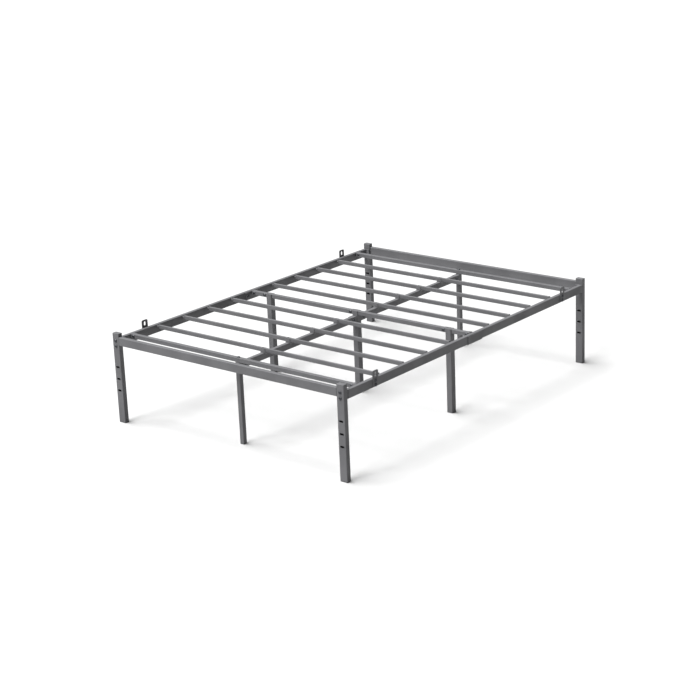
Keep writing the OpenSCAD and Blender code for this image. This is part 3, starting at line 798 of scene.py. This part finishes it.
@dataclass
class Slats:
    """Drawn flat-sided slat tubes, their end plugs and the holders on the beam."""

    shop: Workshop
    per_row: int = 8
    wall: float = 1.0 * MM
    corner: float = 2.5 * MM
    cut_edge: float = 0.25 * MM
    pin: float = 10 * MM
    pin_reach: float = 8 * MM
    pin_tip: float = 1.2 * MM
    pin_bevel: float = 0.5 * MM
    neck: float = 9 * MM
    flare: float = 2 * MM
    flare_height: float = 2.4 * MM
    collar: float = 2 * MM
    rim: float = 3 * MM
    insert: float = 22 * MM
    ridges: int = 5
    ridge: float = 0.4 * MM
    holder_length: float = 27 * MM
    holder_wall: float = 2.4 * MM
    holder_floor: float = 2 * MM
    holder_grip: float = 19 * MM
    holder_skirt: float = 7 * MM
    holder_corner: float = 4 * MM
    holder_web: float = 3 * MM
    holder_edge: float = 0.5 * MM
    fit: float = 0.25 * MM

    def names(self, side: Side) -> list[str]:
        """Node names of a row of slats."""
        return [f"slat_{side.name.lower()}_{i + 1}" for i in range(self.per_row)]

    def tube(self, slat: Vector) -> bpy.types.Object:
        """One slat along +Z, its height along Y, with its wall and its sawn ends.

        Args:
            slat: Length, thickness and height of a slat.

        Returns:
            The slat.
        """
        length, thick, high = slat
        wall, edge = 2 * self.wall, 2 * self.cut_edge
        hollow = self.corner - self.wall
        loops = [block(thick, high, wall, hollow, 0), block(thick, high, edge, self.corner, 0),
                 block(thick, high, 0, self.corner, self.cut_edge),
                 block(thick, high, 0, self.corner, length - self.cut_edge),
                 block(thick, high, edge, self.corner, length), block(thick, high, wall, hollow, length)]
        return Shell().loft(loops, closed=True).finish("slat_tube")

    def plug(self, slat: Vector) -> bpy.types.Object:
        """One moulded end plug, its pin along +Z and the slat's end at z = 0.

        Args:
            slat: Length, thickness and height of a slat.

        Returns:
            The plug.
        """
        _, thick, high = slat
        play = 2 * (self.wall + self.fit)
        in_t, in_h, ridge, corner = thick - play, high - play, self.ridge, self.corner
        loops = [block(in_t, in_h, 2 * ridge, corner, -self.insert),
                 block(in_t, in_h, 0, corner, -self.insert + ridge)]
        for i in range(self.ridges):
            z = -self.insert + (i + 1) * self.insert / (self.ridges + 1)
            loops += [block(in_t, in_h, 0, corner, z - ridge), block(in_t, in_h, ridge, corner, z),
                      block(in_t, in_h, 0, corner, z + ridge)]
        loops += [block(in_t, in_h, 0, corner, 0), block(thick, high, 0, corner, 0),
                  block(thick, high, 0, corner, self.rim - ridge),
                  block(thick, high, 2 * ridge, corner, self.rim)]
        radius, stop, steps = self.pin / 2, self.rim + self.neck, 4
        end, tip, lip = stop + self.pin_reach, self.pin_tip, radius + self.collar
        turned = [(radius, self.rim - ridge)]
        turned += [(radius + self.flare * (1 - k / steps) ** 2, self.rim + self.flare_height * k / steps)
                   for k in range(steps + 1)]
        turned += [(radius, stop - 1.1 * self.collar), (lip - 0.1 * self.collar, stop - 0.9 * self.collar),
                   (lip, stop - 0.7 * self.collar), (lip, stop), (radius, stop), (radius, end - tip),
                   (radius - self.pin_bevel, end - 0.25 * tip), (radius - tip, end)]
        pin = [at(circle(r, 28), z) for r, z in turned]
        return Shell().loft(loops).loft(pin).finish("slat_plug")

    def holder(self, slat: Vector) -> bpy.types.Object:
        """One moulded saddle, standing on the beam at z = 0, with the slats along X.

        Args:
            slat: Length, thickness and height of a slat.

        Returns:
            The holder.
        """
        _, thick, high = slat
        inner = thick / 2 + self.fit
        outer = inner + self.holder_wall
        clear = size_of("centre_beam_foot").x / 2 + self.fit
        floor = face(self.names(Side.RIGHT)[0], "z", -1) - face("centre_beam_foot", "z", 1)
        half, skirt, leg = self.holder_length / 2, -self.holder_skirt, clear + self.holder_wall
        base = floor - self.holder_floor
        under = [(-half, base), (-leg, skirt), (-clear, skirt), (-clear, 0), (clear, 0), (clear, skirt),
                 (leg, skirt), (half, base)]
        ear, top = self.holder_corner, floor + self.holder_grip - self.holder_corner
        arc = [(math.cos(math.radians(a)), math.sin(math.radians(a))) for a in range(0, 91, 18)]
        wall = under + [(half - ear + ear * c, top + ear * s) for c, s in arc]
        wall += [(-half + ear - ear * s, top + ear * c) for c, s in arc]
        # The saddle ends inside the walls and lies a hair inside their outline, so that no seam shows.
        tuck, lift, hide = 0.9995, 0.02 * MM, self.holder_wall / 3
        saddle = [(x * tuck, z + lift) for x, z in under] + [(half * tuck, floor), (-half * tuck, floor)]
        web, web_low, web_high = self.holder_web / 2, floor - self.holder_floor / 2, floor + high - MM
        rib = [(-web, web_low), (web, web_low), (web, web_high), (-web, web_high)]
        bite = self.holder_floor / 4
        shell = Shell().extrude(saddle, -outer + hide, outer - hide)
        shell.extrude(wall, inner, outer).extrude(wall, -outer, -inner)
        shell.extrude(rib, -inner - bite, inner + bite).soften(self.holder_edge)
        return shell.finish("slat_holder")

    def build(self) -> None:
        """Makes the slats, plugs and holders and hands them over."""
        rows = self.names(Side.LEFT) + self.names(Side.RIGHT)
        slats, plugs = [], []
        for side in Side:
            out = X_AXIS * side.value
            for name in self.names(side):
                spot = middle(name)
                for places, sign in ((slats, -side.value), (plugs, side.value)):
                    places.append(Place(Vector((face(name, "x", sign), spot.y, spot.z)), out, Z_AXIS))
        top, slat = face("centre_beam_foot", "z", 1), size_of(rows[-1])
        saddles = [Place(Vector((0, middle(name).y, top))) for name in self.names(Side.RIGHT)]
        self.shop.fit("slats", self.tube(slat), slats, Slot.POWDER_COAT, rows)
        self.shop.fit("slat_end_plugs", self.plug(slat), plugs, Slot.GREY_NYLON, ["slat_plugs"])
        self.shop.fit("beam_slat_holders", self.holder(slat), saddles, Slot.GREY_NYLON, ["slat_holders"])


@dataclass
class Fasteners:
    """Button-head bolts with a hex socket, and their nuts."""

    shop: Workshop
    shank: float = 8 * MM
    head: float = 16 * MM
    head_height: float = 4.5 * MM
    head_edge: float = 0.3 * MM
    head_band: float = 0.9 * MM
    crown: float = 4.3 * MM
    socket: float = 5 * MM
    socket_depth: float = 2.8 * MM
    socket_chamfer: float = 0.35 * MM
    socket_point: float = 0.5 * MM
    thread_pitch: float = 1.25 * MM
    thread_depth: float = 0.35 * MM
    thread_reach: float = 22 * MM
    plain_shank: float = 5 * MM
    tip: float = 0.9 * MM
    nut_flats: float = 13 * MM
    nut_height: float = 6.5 * MM
    nut_chamfer: float = 0.6 * MM
    bore_play: float = 0.1 * MM
    bar_inset: float = 15 * MM
    ear_inset: float = 16 * MM
    bracket_inset: float = 23 * MM
    joint_offset: float = 38 * MM
    retainer_offset: float = 10 * MM
    spigot_tail: float = 12 * MM
    count: int = 24

    def bolt(self, length: float) -> bpy.types.Object:
        """One bolt with its head's underside on z = 0 and its shank down -Z.

        Args:
            length: Length under the head.

        Returns:
            The bolt.
        """
        r, head, count = self.shank / 2, self.head / 2, self.count
        pitch, band = self.thread_pitch, self.head_band
        root, start = r - self.thread_depth, -length + self.tip
        turned = [(r - self.tip, -length), (root, start)]
        for i in range(int(min(length - self.plain_shank, self.thread_reach) / pitch)):
            z = start + i * pitch
            turned += [(r, z + 0.45 * pitch), (r, z + 0.6 * pitch), (root, z + pitch)]
        turned += [(r, turned[-1][1] + 0.64 * pitch), (r, 0), (head - self.head_edge, 0),
                   (head, self.head_edge), (head, band)]
        steps = 5
        for k in range(1, steps + 1):
            t = math.pi / 2 * k / steps
            turned.append((self.crown + (head - self.crown) * math.cos(t),
                           band + (self.head_height - band) * math.sin(t)))
        loops = [at(circle(radius, count), z) for radius, z in turned]
        key, top, deep = self.socket, self.head_height, self.head_height - self.socket_depth
        loops += [at(circle(0.62 * key, count), top), at(hexagon(key, count), top - self.socket_chamfer),
                  at(hexagon(key, count), deep), at(circle(0.2 * key, count), deep - self.socket_point)]
        return Shell().loft(loops).finish("bolt")

    def nut(self) -> bpy.types.Object:
        """One chamfered hex nut, standing on z = 0."""
        count, high, edge = self.count, self.nut_height, self.nut_chamfer
        bore = self.shank / 2 + self.bore_play
        hole, sink, side = circle(bore, count), circle(bore + edge, count), hexagon(self.nut_flats, count)
        rim = circle(self.nut_flats / 2 - 2 * self.bore_play, count)
        loops = [at(hole, edge), at(sink, 0), at(rim, 0), at(side, edge), at(side, high - edge),
                 at(rim, high), at(sink, high), at(hole, high - edge)]
        return Shell().loft(loops, closed=True).finish("nut")

    def leg_places(self) -> list[Place]:
        """Two bolts on the outer face of each corner leg."""
        heights = [face("leg_bolts", "z", sign) - sign * self.head / 2 for sign in (-1, 1)]
        places = []
        for side, end in CORNERS:
            leg = corner_name("corner_leg", side, end)
            x, y = middle(leg).x, face(leg, "y", end.value)
            places += [Place(Vector((x, y, z)), Y_AXIS * end.value, Z_AXIS) for z in heights]
        return places

    def crossbar_spots(self) -> list[Vector]:
        """Middles of the crossbars' bolt holes that run along Y."""
        spots = []
        for left, right in (("crossbar_foot",) * 2, ("crossbar_head",) * 2,
                            ("mid_bar_left_outer", "mid_bar_right_outer")):
            bar = middle(left)
            spots += [Vector((face(left, "x", -1) + self.bar_inset, bar.y, bar.z)),
                      Vector((face(right, "x", 1) - self.bar_inset, bar.y, bar.z))]
        return spots + [Vector((face(f"mid_socket_{name}", "x", -1) - self.ear_inset, bar.y, bar.z))
                        for name in MID_NAMES]

    def beam_spots(self) -> list[Vector]:
        """Middles of the beams' bolt holes, which run along X."""
        reach = (face("mid_leg_centre", "y", 1) + self.bracket_inset,
                 face("end_leg_head", "y", -1) - self.bracket_inset)
        return [Vector((0, end.value * y, middle("centre_beam_head").z)) for end in End for y in reach]

    def bar_places(self) -> tuple[list[Place], list[Place]]:
        """Places of the through bolts, and of their nuts."""
        half_bar, cheek = size_of("mid_bar_left_inner").y / 2, face("beam_brackets", "x", 1)
        ear = face("crossbar_ears", "y", 1) - face("crossbar_head", "y", 1)
        bolts = [Place(spot - Y_AXIS * half_bar, -Y_AXIS, Z_AXIS) for spot in self.crossbar_spots()]
        nuts = [Place(spot + Y_AXIS * (half_bar + ear), Y_AXIS, Z_AXIS) for spot in self.crossbar_spots()]
        bolts += [Place(spot + X_AXIS * cheek, X_AXIS, Z_AXIS) for spot in self.beam_spots()]
        nuts += [Place(spot - X_AXIS * cheek, -X_AXIS, Z_AXIS) for spot in self.beam_spots()]
        bolts += [Place(Vector((0, middle(bar).y, face(bar, "z", 1))))
                  for bar in ("crossbar_foot", "crossbar_head")]
        return bolts, nuts

    def short_places(self) -> list[Place]:
        """Bolts of the rail joints, of the retainers and of the middle legs."""
        places = []
        rail_z = middle("side_rail_foot_left").z
        for side in Side:
            x = face(f"rail_sleeve_{side.name.lower()}", "x", -side.value)
            places += [Place(Vector((x, sign * self.joint_offset, rail_z)), X_AXIS * -side.value, Z_AXIS)
                       for sign in (-1, 1)]
        for side, end in CORNERS:
            plate = corner_name("retainer", side, end)
            x, y, out = face(plate, "x", side.value), middle(plate).y, X_AXIS * side.value
            places += [Place(Vector((x, y, rail_z + sign * self.retainer_offset)), out, Z_AXIS)
                       for sign in (-1, 1)]
        for name in MID_NAMES:
            leg, z = f"mid_leg_{name}", face(f"mid_socket_{name}", "z", -1) + self.spigot_tail
            places.append(Place(Vector((middle(leg).x, face(leg, "y", 1), z)), Y_AXIS, Z_AXIS))
        return places

    def build(self) -> None:
        """Makes the three kinds of bolt and the nuts and hands them over."""
        bolts, nuts = self.bar_places()
        kinds = {"leg_bolts": (30 * MM, self.leg_places()), "bar_bolts": (35 * MM, bolts),
                 "short_bolts": (16 * MM, self.short_places())}
        for node, (length, places) in kinds.items():
            self.shop.fit("socket_" + node, self.bolt(length), places, Slot.BLACK_ZINC, [node], HEX_TURN)
        self.shop.fit("hex_nuts", self.nut(), nuts, Slot.BLACK_ZINC, ["bar_nuts"], HEX_TURN)


@dataclass
class EndPieces:
    """Caps on the corner legs and glides under all nine legs."""

    shop: Workshop
    leg_wall: float = 1.5 * MM
    thin_wall: float = 1.2 * MM
    fit: float = 0.25 * MM
    cap: float = 3 * MM
    cap_edge: float = 1.2 * MM
    foot: float = 4 * MM
    foot_edge: float = 1.5 * MM
    edge_steps: int = 4
    insert: float = 15 * MM
    ridge: float = 0.35 * MM
    ribs: int = 4
    rib_rise: float = 0.8 * MM
    rib_top: float = 1.1 * MM
    first_rib: float = 1.2 * MM
    rib_margin: float = 3 * MM
    leg_corner: float = 3 * MM
    tube_corner: float = 1.5 * MM

    def plug(self, width: float, depth: float, corner: float, wall: float, rim: float,
             edge: float) -> bpy.types.Object:
        """One push-in end piece: a rim up +Z from z = 0 and a ribbed insert down -Z.

        Args:
            width: Size of the tube along X.
            depth: Size of the tube along Y.
            corner: Corner radius of the tube.
            wall: Wall of the tube.
            rim: Thickness of the rim.
            edge: Rounding of the rim's outer edge.

        Returns:
            The end piece.
        """
        play = 2 * (wall + self.fit)
        in_w, in_d, ridge = width - play, depth - play, self.ridge
        loops = [block(in_w, in_d, 4 * ridge, corner, -self.insert)]
        for i in range(self.ribs):
            z = -self.insert + self.first_rib + i * (self.insert - self.rib_margin) / self.ribs
            loops += [block(in_w, in_d, 3 * ridge, corner, z),
                      block(in_w, in_d, 0, corner, z + self.rib_rise),
                      block(in_w, in_d, 0, corner, z + self.rib_top)]
        loops += [block(in_w, in_d, ridge, corner, -ridge), block(in_w, in_d, ridge, corner, 0),
                  block(width, depth, 0, corner, 0), block(width, depth, 0, corner, rim - edge)]
        for k in range(1, self.edge_steps + 1):
            t = math.pi / 2 * k / self.edge_steps
            inset = edge * (1 - math.cos(t))
            loops.append(block(width, depth, 2 * inset, corner, rim - edge + edge * math.sin(t)))
        loops.append(block(width, depth, 0.5 * min(width, depth), corner, rim))
        return Shell().loft(loops).finish("end_piece")

    def places(self, tubes: list[str], sign: int) -> list[Place]:
        """Places on the tops of upright tubes, or under their feet.

        Args:
            tubes: Names of the tubes.
            sign: 1 for the tops, -1 for the feet.

        Returns:
            One place for each tube.
        """
        spots = [Vector((middle(tube).x, middle(tube).y, face(tube, "z", sign))) for tube in tubes]
        return [Place(spot) if sign > 0 else Place(spot, -Z_AXIS, Y_AXIS) for spot in spots]

    def build(self) -> None:
        """Makes the caps and glides and hands them over."""
        slot = Slot.GREY_PLASTIC
        legs = [corner_name("corner_leg", side, end) for side, end in CORNERS]
        width, depth, _ = size_of("corner_leg_foot_left")
        tube = (width, depth, self.leg_corner, self.leg_wall)
        self.shop.fit("leg_caps", self.plug(*tube, self.cap, self.cap_edge), self.places(legs, 1), slot,
                      ["corner_leg_caps"])
        self.shop.fit("corner_glides", self.plug(*tube, self.foot, self.foot_edge), self.places(legs, -1),
                      slot, ["corner_leg_glides"])
        glides = []
        for stem, names, wall in (("mid_leg", MID_NAMES, self.leg_wall),
                                  ("end_leg", ("foot", "head"), self.thin_wall)):
            tubes = [f"{stem}_{name}" for name in names]
            side = size_of(tubes[0]).x
            piece = self.plug(side, side, self.tube_corner, wall, self.foot, self.foot_edge)
            glides.append(self.shop.spread(stem + "_glides", piece, self.places(tubes, -1), slot))
        self.shop.hand_over(self.shop.join("inner_glides", glides), slot, ["inner_leg_glides"])


@dataclass
class Retainers:
    """Stamped plates that keep the mattress from sliding off the sides."""

    shop: Workshop
    tip: float = 7.6 * MM
    window_width: float = 12 * MM
    window_height: float = 20 * MM
    window_centre: float = 18 * MM
    edge: float = 0.5 * MM
    steps: int = 8

    def outline(self, width: float, low: float, high: float, steps: int) -> list[Point]:
        """Plate outline with round top corners, anticlockwise from the lower right.

        Args:
            width: Width of the plate.
            low: Bottom edge, from the window's centre.
            high: Top edge, from the window's centre.
            steps: Points along each of the six stretches.

        Returns:
            6 * steps points.
        """
        half, tip = width / 2, self.tip

        def stretch(a: Point, b: Point) -> list[Point]:
            """Evenly spaced points from a, stopping short of b."""
            return [(a[0] + (b[0] - a[0]) * i / steps, a[1] + (b[1] - a[1]) * i / steps)
                    for i in range(steps)]

        def turn(centre: Point, start: float) -> list[Point]:
            """Points of a quarter circle from start degrees, stopping short of its end."""
            angles = [math.radians(start + 90 * i / steps) for i in range(steps)]
            return [(centre[0] + tip * math.cos(a), centre[1] + tip * math.sin(a)) for a in angles]

        return (stretch((half, low), (half, high - tip)) + turn((half - tip, high - tip), 0)
                + stretch((half - tip, high), (-half + tip, high)) + turn((-half + tip, high - tip), 90)
                + stretch((-half, high - tip), (-half, low)) + stretch((-half, low), (half, low)))

    def window(self, steps: int) -> list[Point]:
        """Points of the oval window that face those of the outline.

        Args:
            steps: Points along each of the six stretches.

        Returns:
            6 * steps points round the window.
        """
        r, straight = self.window_width / 2, (self.window_height - self.window_width) / 2
        # Degrees of the window's edge that face each of the outline's stretches.
        spans = ((-50, 35), (35, 65), (65, 115), (115, 145), (145, 230), (230, 310))
        points = []
        for start, stop in spans:
            for i in range(steps):
                a = math.radians(start + (stop - start) * i / steps)
                points.append((r * math.cos(a), r * math.sin(a) + math.copysign(straight, math.sin(a))))
        return points

    def plate(self, width: float, low: float, high: float, thick: float) -> bpy.types.Object:
        """One plate, its width along X, its height along Y and its thickness up +Z.

        Args:
            width: Width of the plate.
            low: Bottom edge, from the window's centre.
            high: Top edge, from the window's centre.
            thick: Thickness of the sheet.

        Returns:
            The plate.
        """
        outer, inner = self.outline(width, low, high, self.steps), self.window(self.steps)
        loops = [at(outer, 0), at(outer, thick), at(inner, thick), at(inner, 0)]
        return Shell().loft(loops, closed=True).soften(self.edge, 2, 60).finish("retainer")

    def build(self) -> None:
        """Makes the four plates and hands them over."""
        names = [corner_name("retainer", side, end) for side, end in CORNERS]
        centre_z = face("side_rail_foot_left", "z", 1) + self.window_centre
        low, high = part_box(names[0])
        source = self.plate(high.y - low.y, low.z - centre_z, high.z - centre_z, high.x - low.x)
        places = []
        for name, (side, _) in zip(names, CORNERS):
            spot = Vector((face(name, "x", -side.value), middle(name).y, centre_z))
            places.append(Place(spot, X_AXIS * side.value, Z_AXIS))
        self.shop.fit("mattress_retainers", source, places, Slot.POWDER_COAT, names)


@dataclass
class Welds:
    """Gas-shielded fillet welds, painted over with the frame."""

    shop: Workshop
    radius: float = 1.7 * MM
    pitch: float = 1.6 * MM
    plate: float = 6 * MM
    hook_plate: float = 3 * MM
    margin: float = 3 * MM
    ear_gap: float = 1 * MM

    def upright(self, x: float, y: float, low: float, high: float) -> Line:
        """A bead up a vertical corner, clear of both of its ends."""
        return Vector((x, y, low + self.margin)), Vector((x, y, high - self.margin))

    def rail_width(self) -> float:
        """Thickness of a side rail, from the sleeve that wraps it."""
        over = face("rail_sleeve_right", "x", 1) - face("side_rail_foot_right", "x", 1)
        return size_of("rail_sleeve_right").x - 2 * abs(over)

    def rail_lines(self) -> list[Line]:
        """Beads where the side rails meet their threaded plates."""
        lines = []
        for side, end in CORNERS:
            rail = corner_name("side_rail", side, end)
            low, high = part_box(rail)
            y = face(rail, "y", end.value) - end.value * self.plate
            outer, inset = face(rail, "x", side.value), side.value * self.margin
            inner = outer - side.value * self.rail_width()
            lines += [self.upright(inner, y, low.z, high.z),
                      (Vector((inner + inset, y, low.z)), Vector((outer - inset, y, low.z)))]
        return lines

    def end_rail_lines(self) -> list[Line]:
        """Beads where the end rails meet their hook plates."""
        lines, reach = [], face("corner_leg_foot_right", "x", -1) - self.hook_plate
        for end in End:
            rail = f"end_rail_{end.name.lower()}"
            low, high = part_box(rail)
            y = face(rail, "y", -end.value)
            lines += [self.upright(side.value * reach, y, low.z, high.z) for side in Side]
        return lines

    def bar_lines(self) -> list[Line]:
        """Beads where the middle crossbar's pieces meet their sockets."""
        lines = []
        for name in ("mid_bar_left_inner", "mid_bar_right_inner", "mid_bar_right_outer"):
            low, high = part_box(name)
            lines += [self.upright(low.x, y, low.z, high.z) for y in (low.y, high.y)]
            lines.append((Vector((low.x, low.y + self.margin, low.z)),
                          Vector((low.x, high.y - self.margin, low.z))))
        return lines

    def ear_lines(self) -> list[Line]:
        """Beads behind the ears, on the rails, the sleeves and the sockets."""
        lines, ear = [], face("crossbar_ears", "y", 1) - face("crossbar_head", "y", 1)
        bars = [("crossbar_foot", -1), ("crossbar_foot", 1), ("crossbar_head", -1), ("crossbar_head", 1),
                ("mid_bar_left_outer", -1), ("mid_bar_left_inner", 1), ("mid_bar_left_outer", 1),
                ("mid_bar_right_inner", 1), ("mid_bar_right_outer", 1)]
        for name, sign in bars:
            low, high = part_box(name)
            x = face(name, "x", sign) + sign * self.ear_gap
            lines.append(self.upright(x, high.y + ear, low.z, high.z))
        return lines

    def bracket_lines(self) -> list[Line]:
        """Beads where the beam's brackets meet the legs."""
        low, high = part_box("beam_brackets")
        leg = "end_leg_head"
        spots = [(face("mid_leg_centre", "y", 1), high.x), (face(leg, "y", -1), face(leg, "x", 1))]
        return [self.upright(side.value * x, end.value * y, low.z, high.z)
                for end in End for y, x in spots for side in Side]

    def build(self) -> None:
        """Lays every bead and hands them over."""
        lines = (self.rail_lines() + self.end_rail_lines() + self.bar_lines() + self.ear_lines()
                 + self.bracket_lines())
        beads = self.shop.weld("weld_beads", lines, self.radius, self.pitch)
        self.shop.hand_over(beads, Slot.POWDER_COAT, [])


# ---- studio ----


@dataclass
class Studio:
    """Camera, lights, sky and floor."""

    eye: Vector = field(default_factory=lambda: Vector((5.16588, -6.33096, 2.86725)))
    heading: float = 39.49097
    tilt: float = 71.99933
    roll: float = -2.35079
    lens: float = 91.41
    sensor: float = 36.0
    floor_half: float = 60.0
    sky: float = 0.05
    key: float = 1.3
    key_from: Vector = field(default_factory=lambda: Vector((-0.15, -1.0, 1.1)))
    overhead: float = 2.15
    overhead_from: Vector = field(default_factory=lambda: Vector((-0.3, -0.1, 1.0)))
    lamp_spread: float = 30.0
    view_depth: float = 200.0

    def camera(self) -> None:
        """Sets the camera."""
        data = bpy.data.cameras.new("camera")
        data.lens, data.sensor_width = self.lens, self.sensor
        data.clip_end = self.view_depth
        camera = in_scene("camera", data)
        turn = (Matrix.Rotation(math.radians(self.heading), 4, "Z")
                @ Matrix.Rotation(math.radians(self.tilt), 4, "X")
                @ Matrix.Rotation(math.radians(self.roll), 4, "Z"))
        camera.matrix_world = Matrix.Translation(self.eye) @ turn
        bpy.context.scene.camera = camera

    def floor(self) -> None:
        """Lays the pale floor."""
        shell, h = Shell(), self.floor_half
        corners = [shell.mesh.verts.new((x, y, 0)) for x, y in ((-h, -h), (h, -h), (h, h), (-h, h))]
        shell.mesh.faces.new(corners)
        floor = shell.finish("floor")
        floor.data.materials.append(PaleFloor().make())

    def lamp(self, name: str, direction: Vector, strength: float) -> None:
        """Adds a soft light that falls the same way everywhere.

        Args:
            name: The light's name.
            direction: From the frame towards the light.
            strength: Light on a face that looks straight at it.
        """
        data = bpy.data.lights.new(name, "SUN")
        data.energy, data.angle = strength * math.pi, math.radians(self.lamp_spread)
        lamp = in_scene(name, data)
        lamp.rotation_euler = direction.to_track_quat("Z", "Y").to_euler()

    def light(self) -> None:
        """Sets a key light from the foot end, a strong one overhead and a plain sky.

        The sky looks white but gives little light, as a white wall far behind the frame does.
        """
        world = bpy.data.worlds.new("studio_sky")
        world.use_nodes = True
        tree = world.node_tree
        tree.nodes.clear()
        seen = add(tree, "ShaderNodeLightPath").outputs["Is Camera Ray"]
        strength = add(tree, "ShaderNodeMapRange", {"Value": seen, "To Min": self.sky, "To Max": 1.0})
        sky = add(tree, "ShaderNodeBackground",
                  {"Color": (1.0, 1.0, 1.0, 1.0), "Strength": strength.outputs["Result"]})
        add(tree, "ShaderNodeOutputWorld", {"Surface": sky.outputs["Background"]})
        bpy.context.scene.world = world
        self.lamp("key", self.key_from, self.key)
        self.lamp("overhead", self.overhead_from, self.overhead)
        bpy.context.scene.view_settings.view_transform = "Standard"

    def build(self) -> None:
        """Sets up the whole studio."""
        self.camera()
        self.floor()
        self.light()


def main() -> None:
    """Builds every piece round the model."""
    logging.basicConfig(level=logging.INFO, format="%(name)s: %(message)s")
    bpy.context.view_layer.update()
    shop = Workshop()
    shop.dress_model()
    for assembly in (Slats(shop), Fasteners(shop), EndPieces(shop), Retainers(shop), Welds(shop), Studio()):
        assembly.build()


if __name__ == "__main__":
    main()
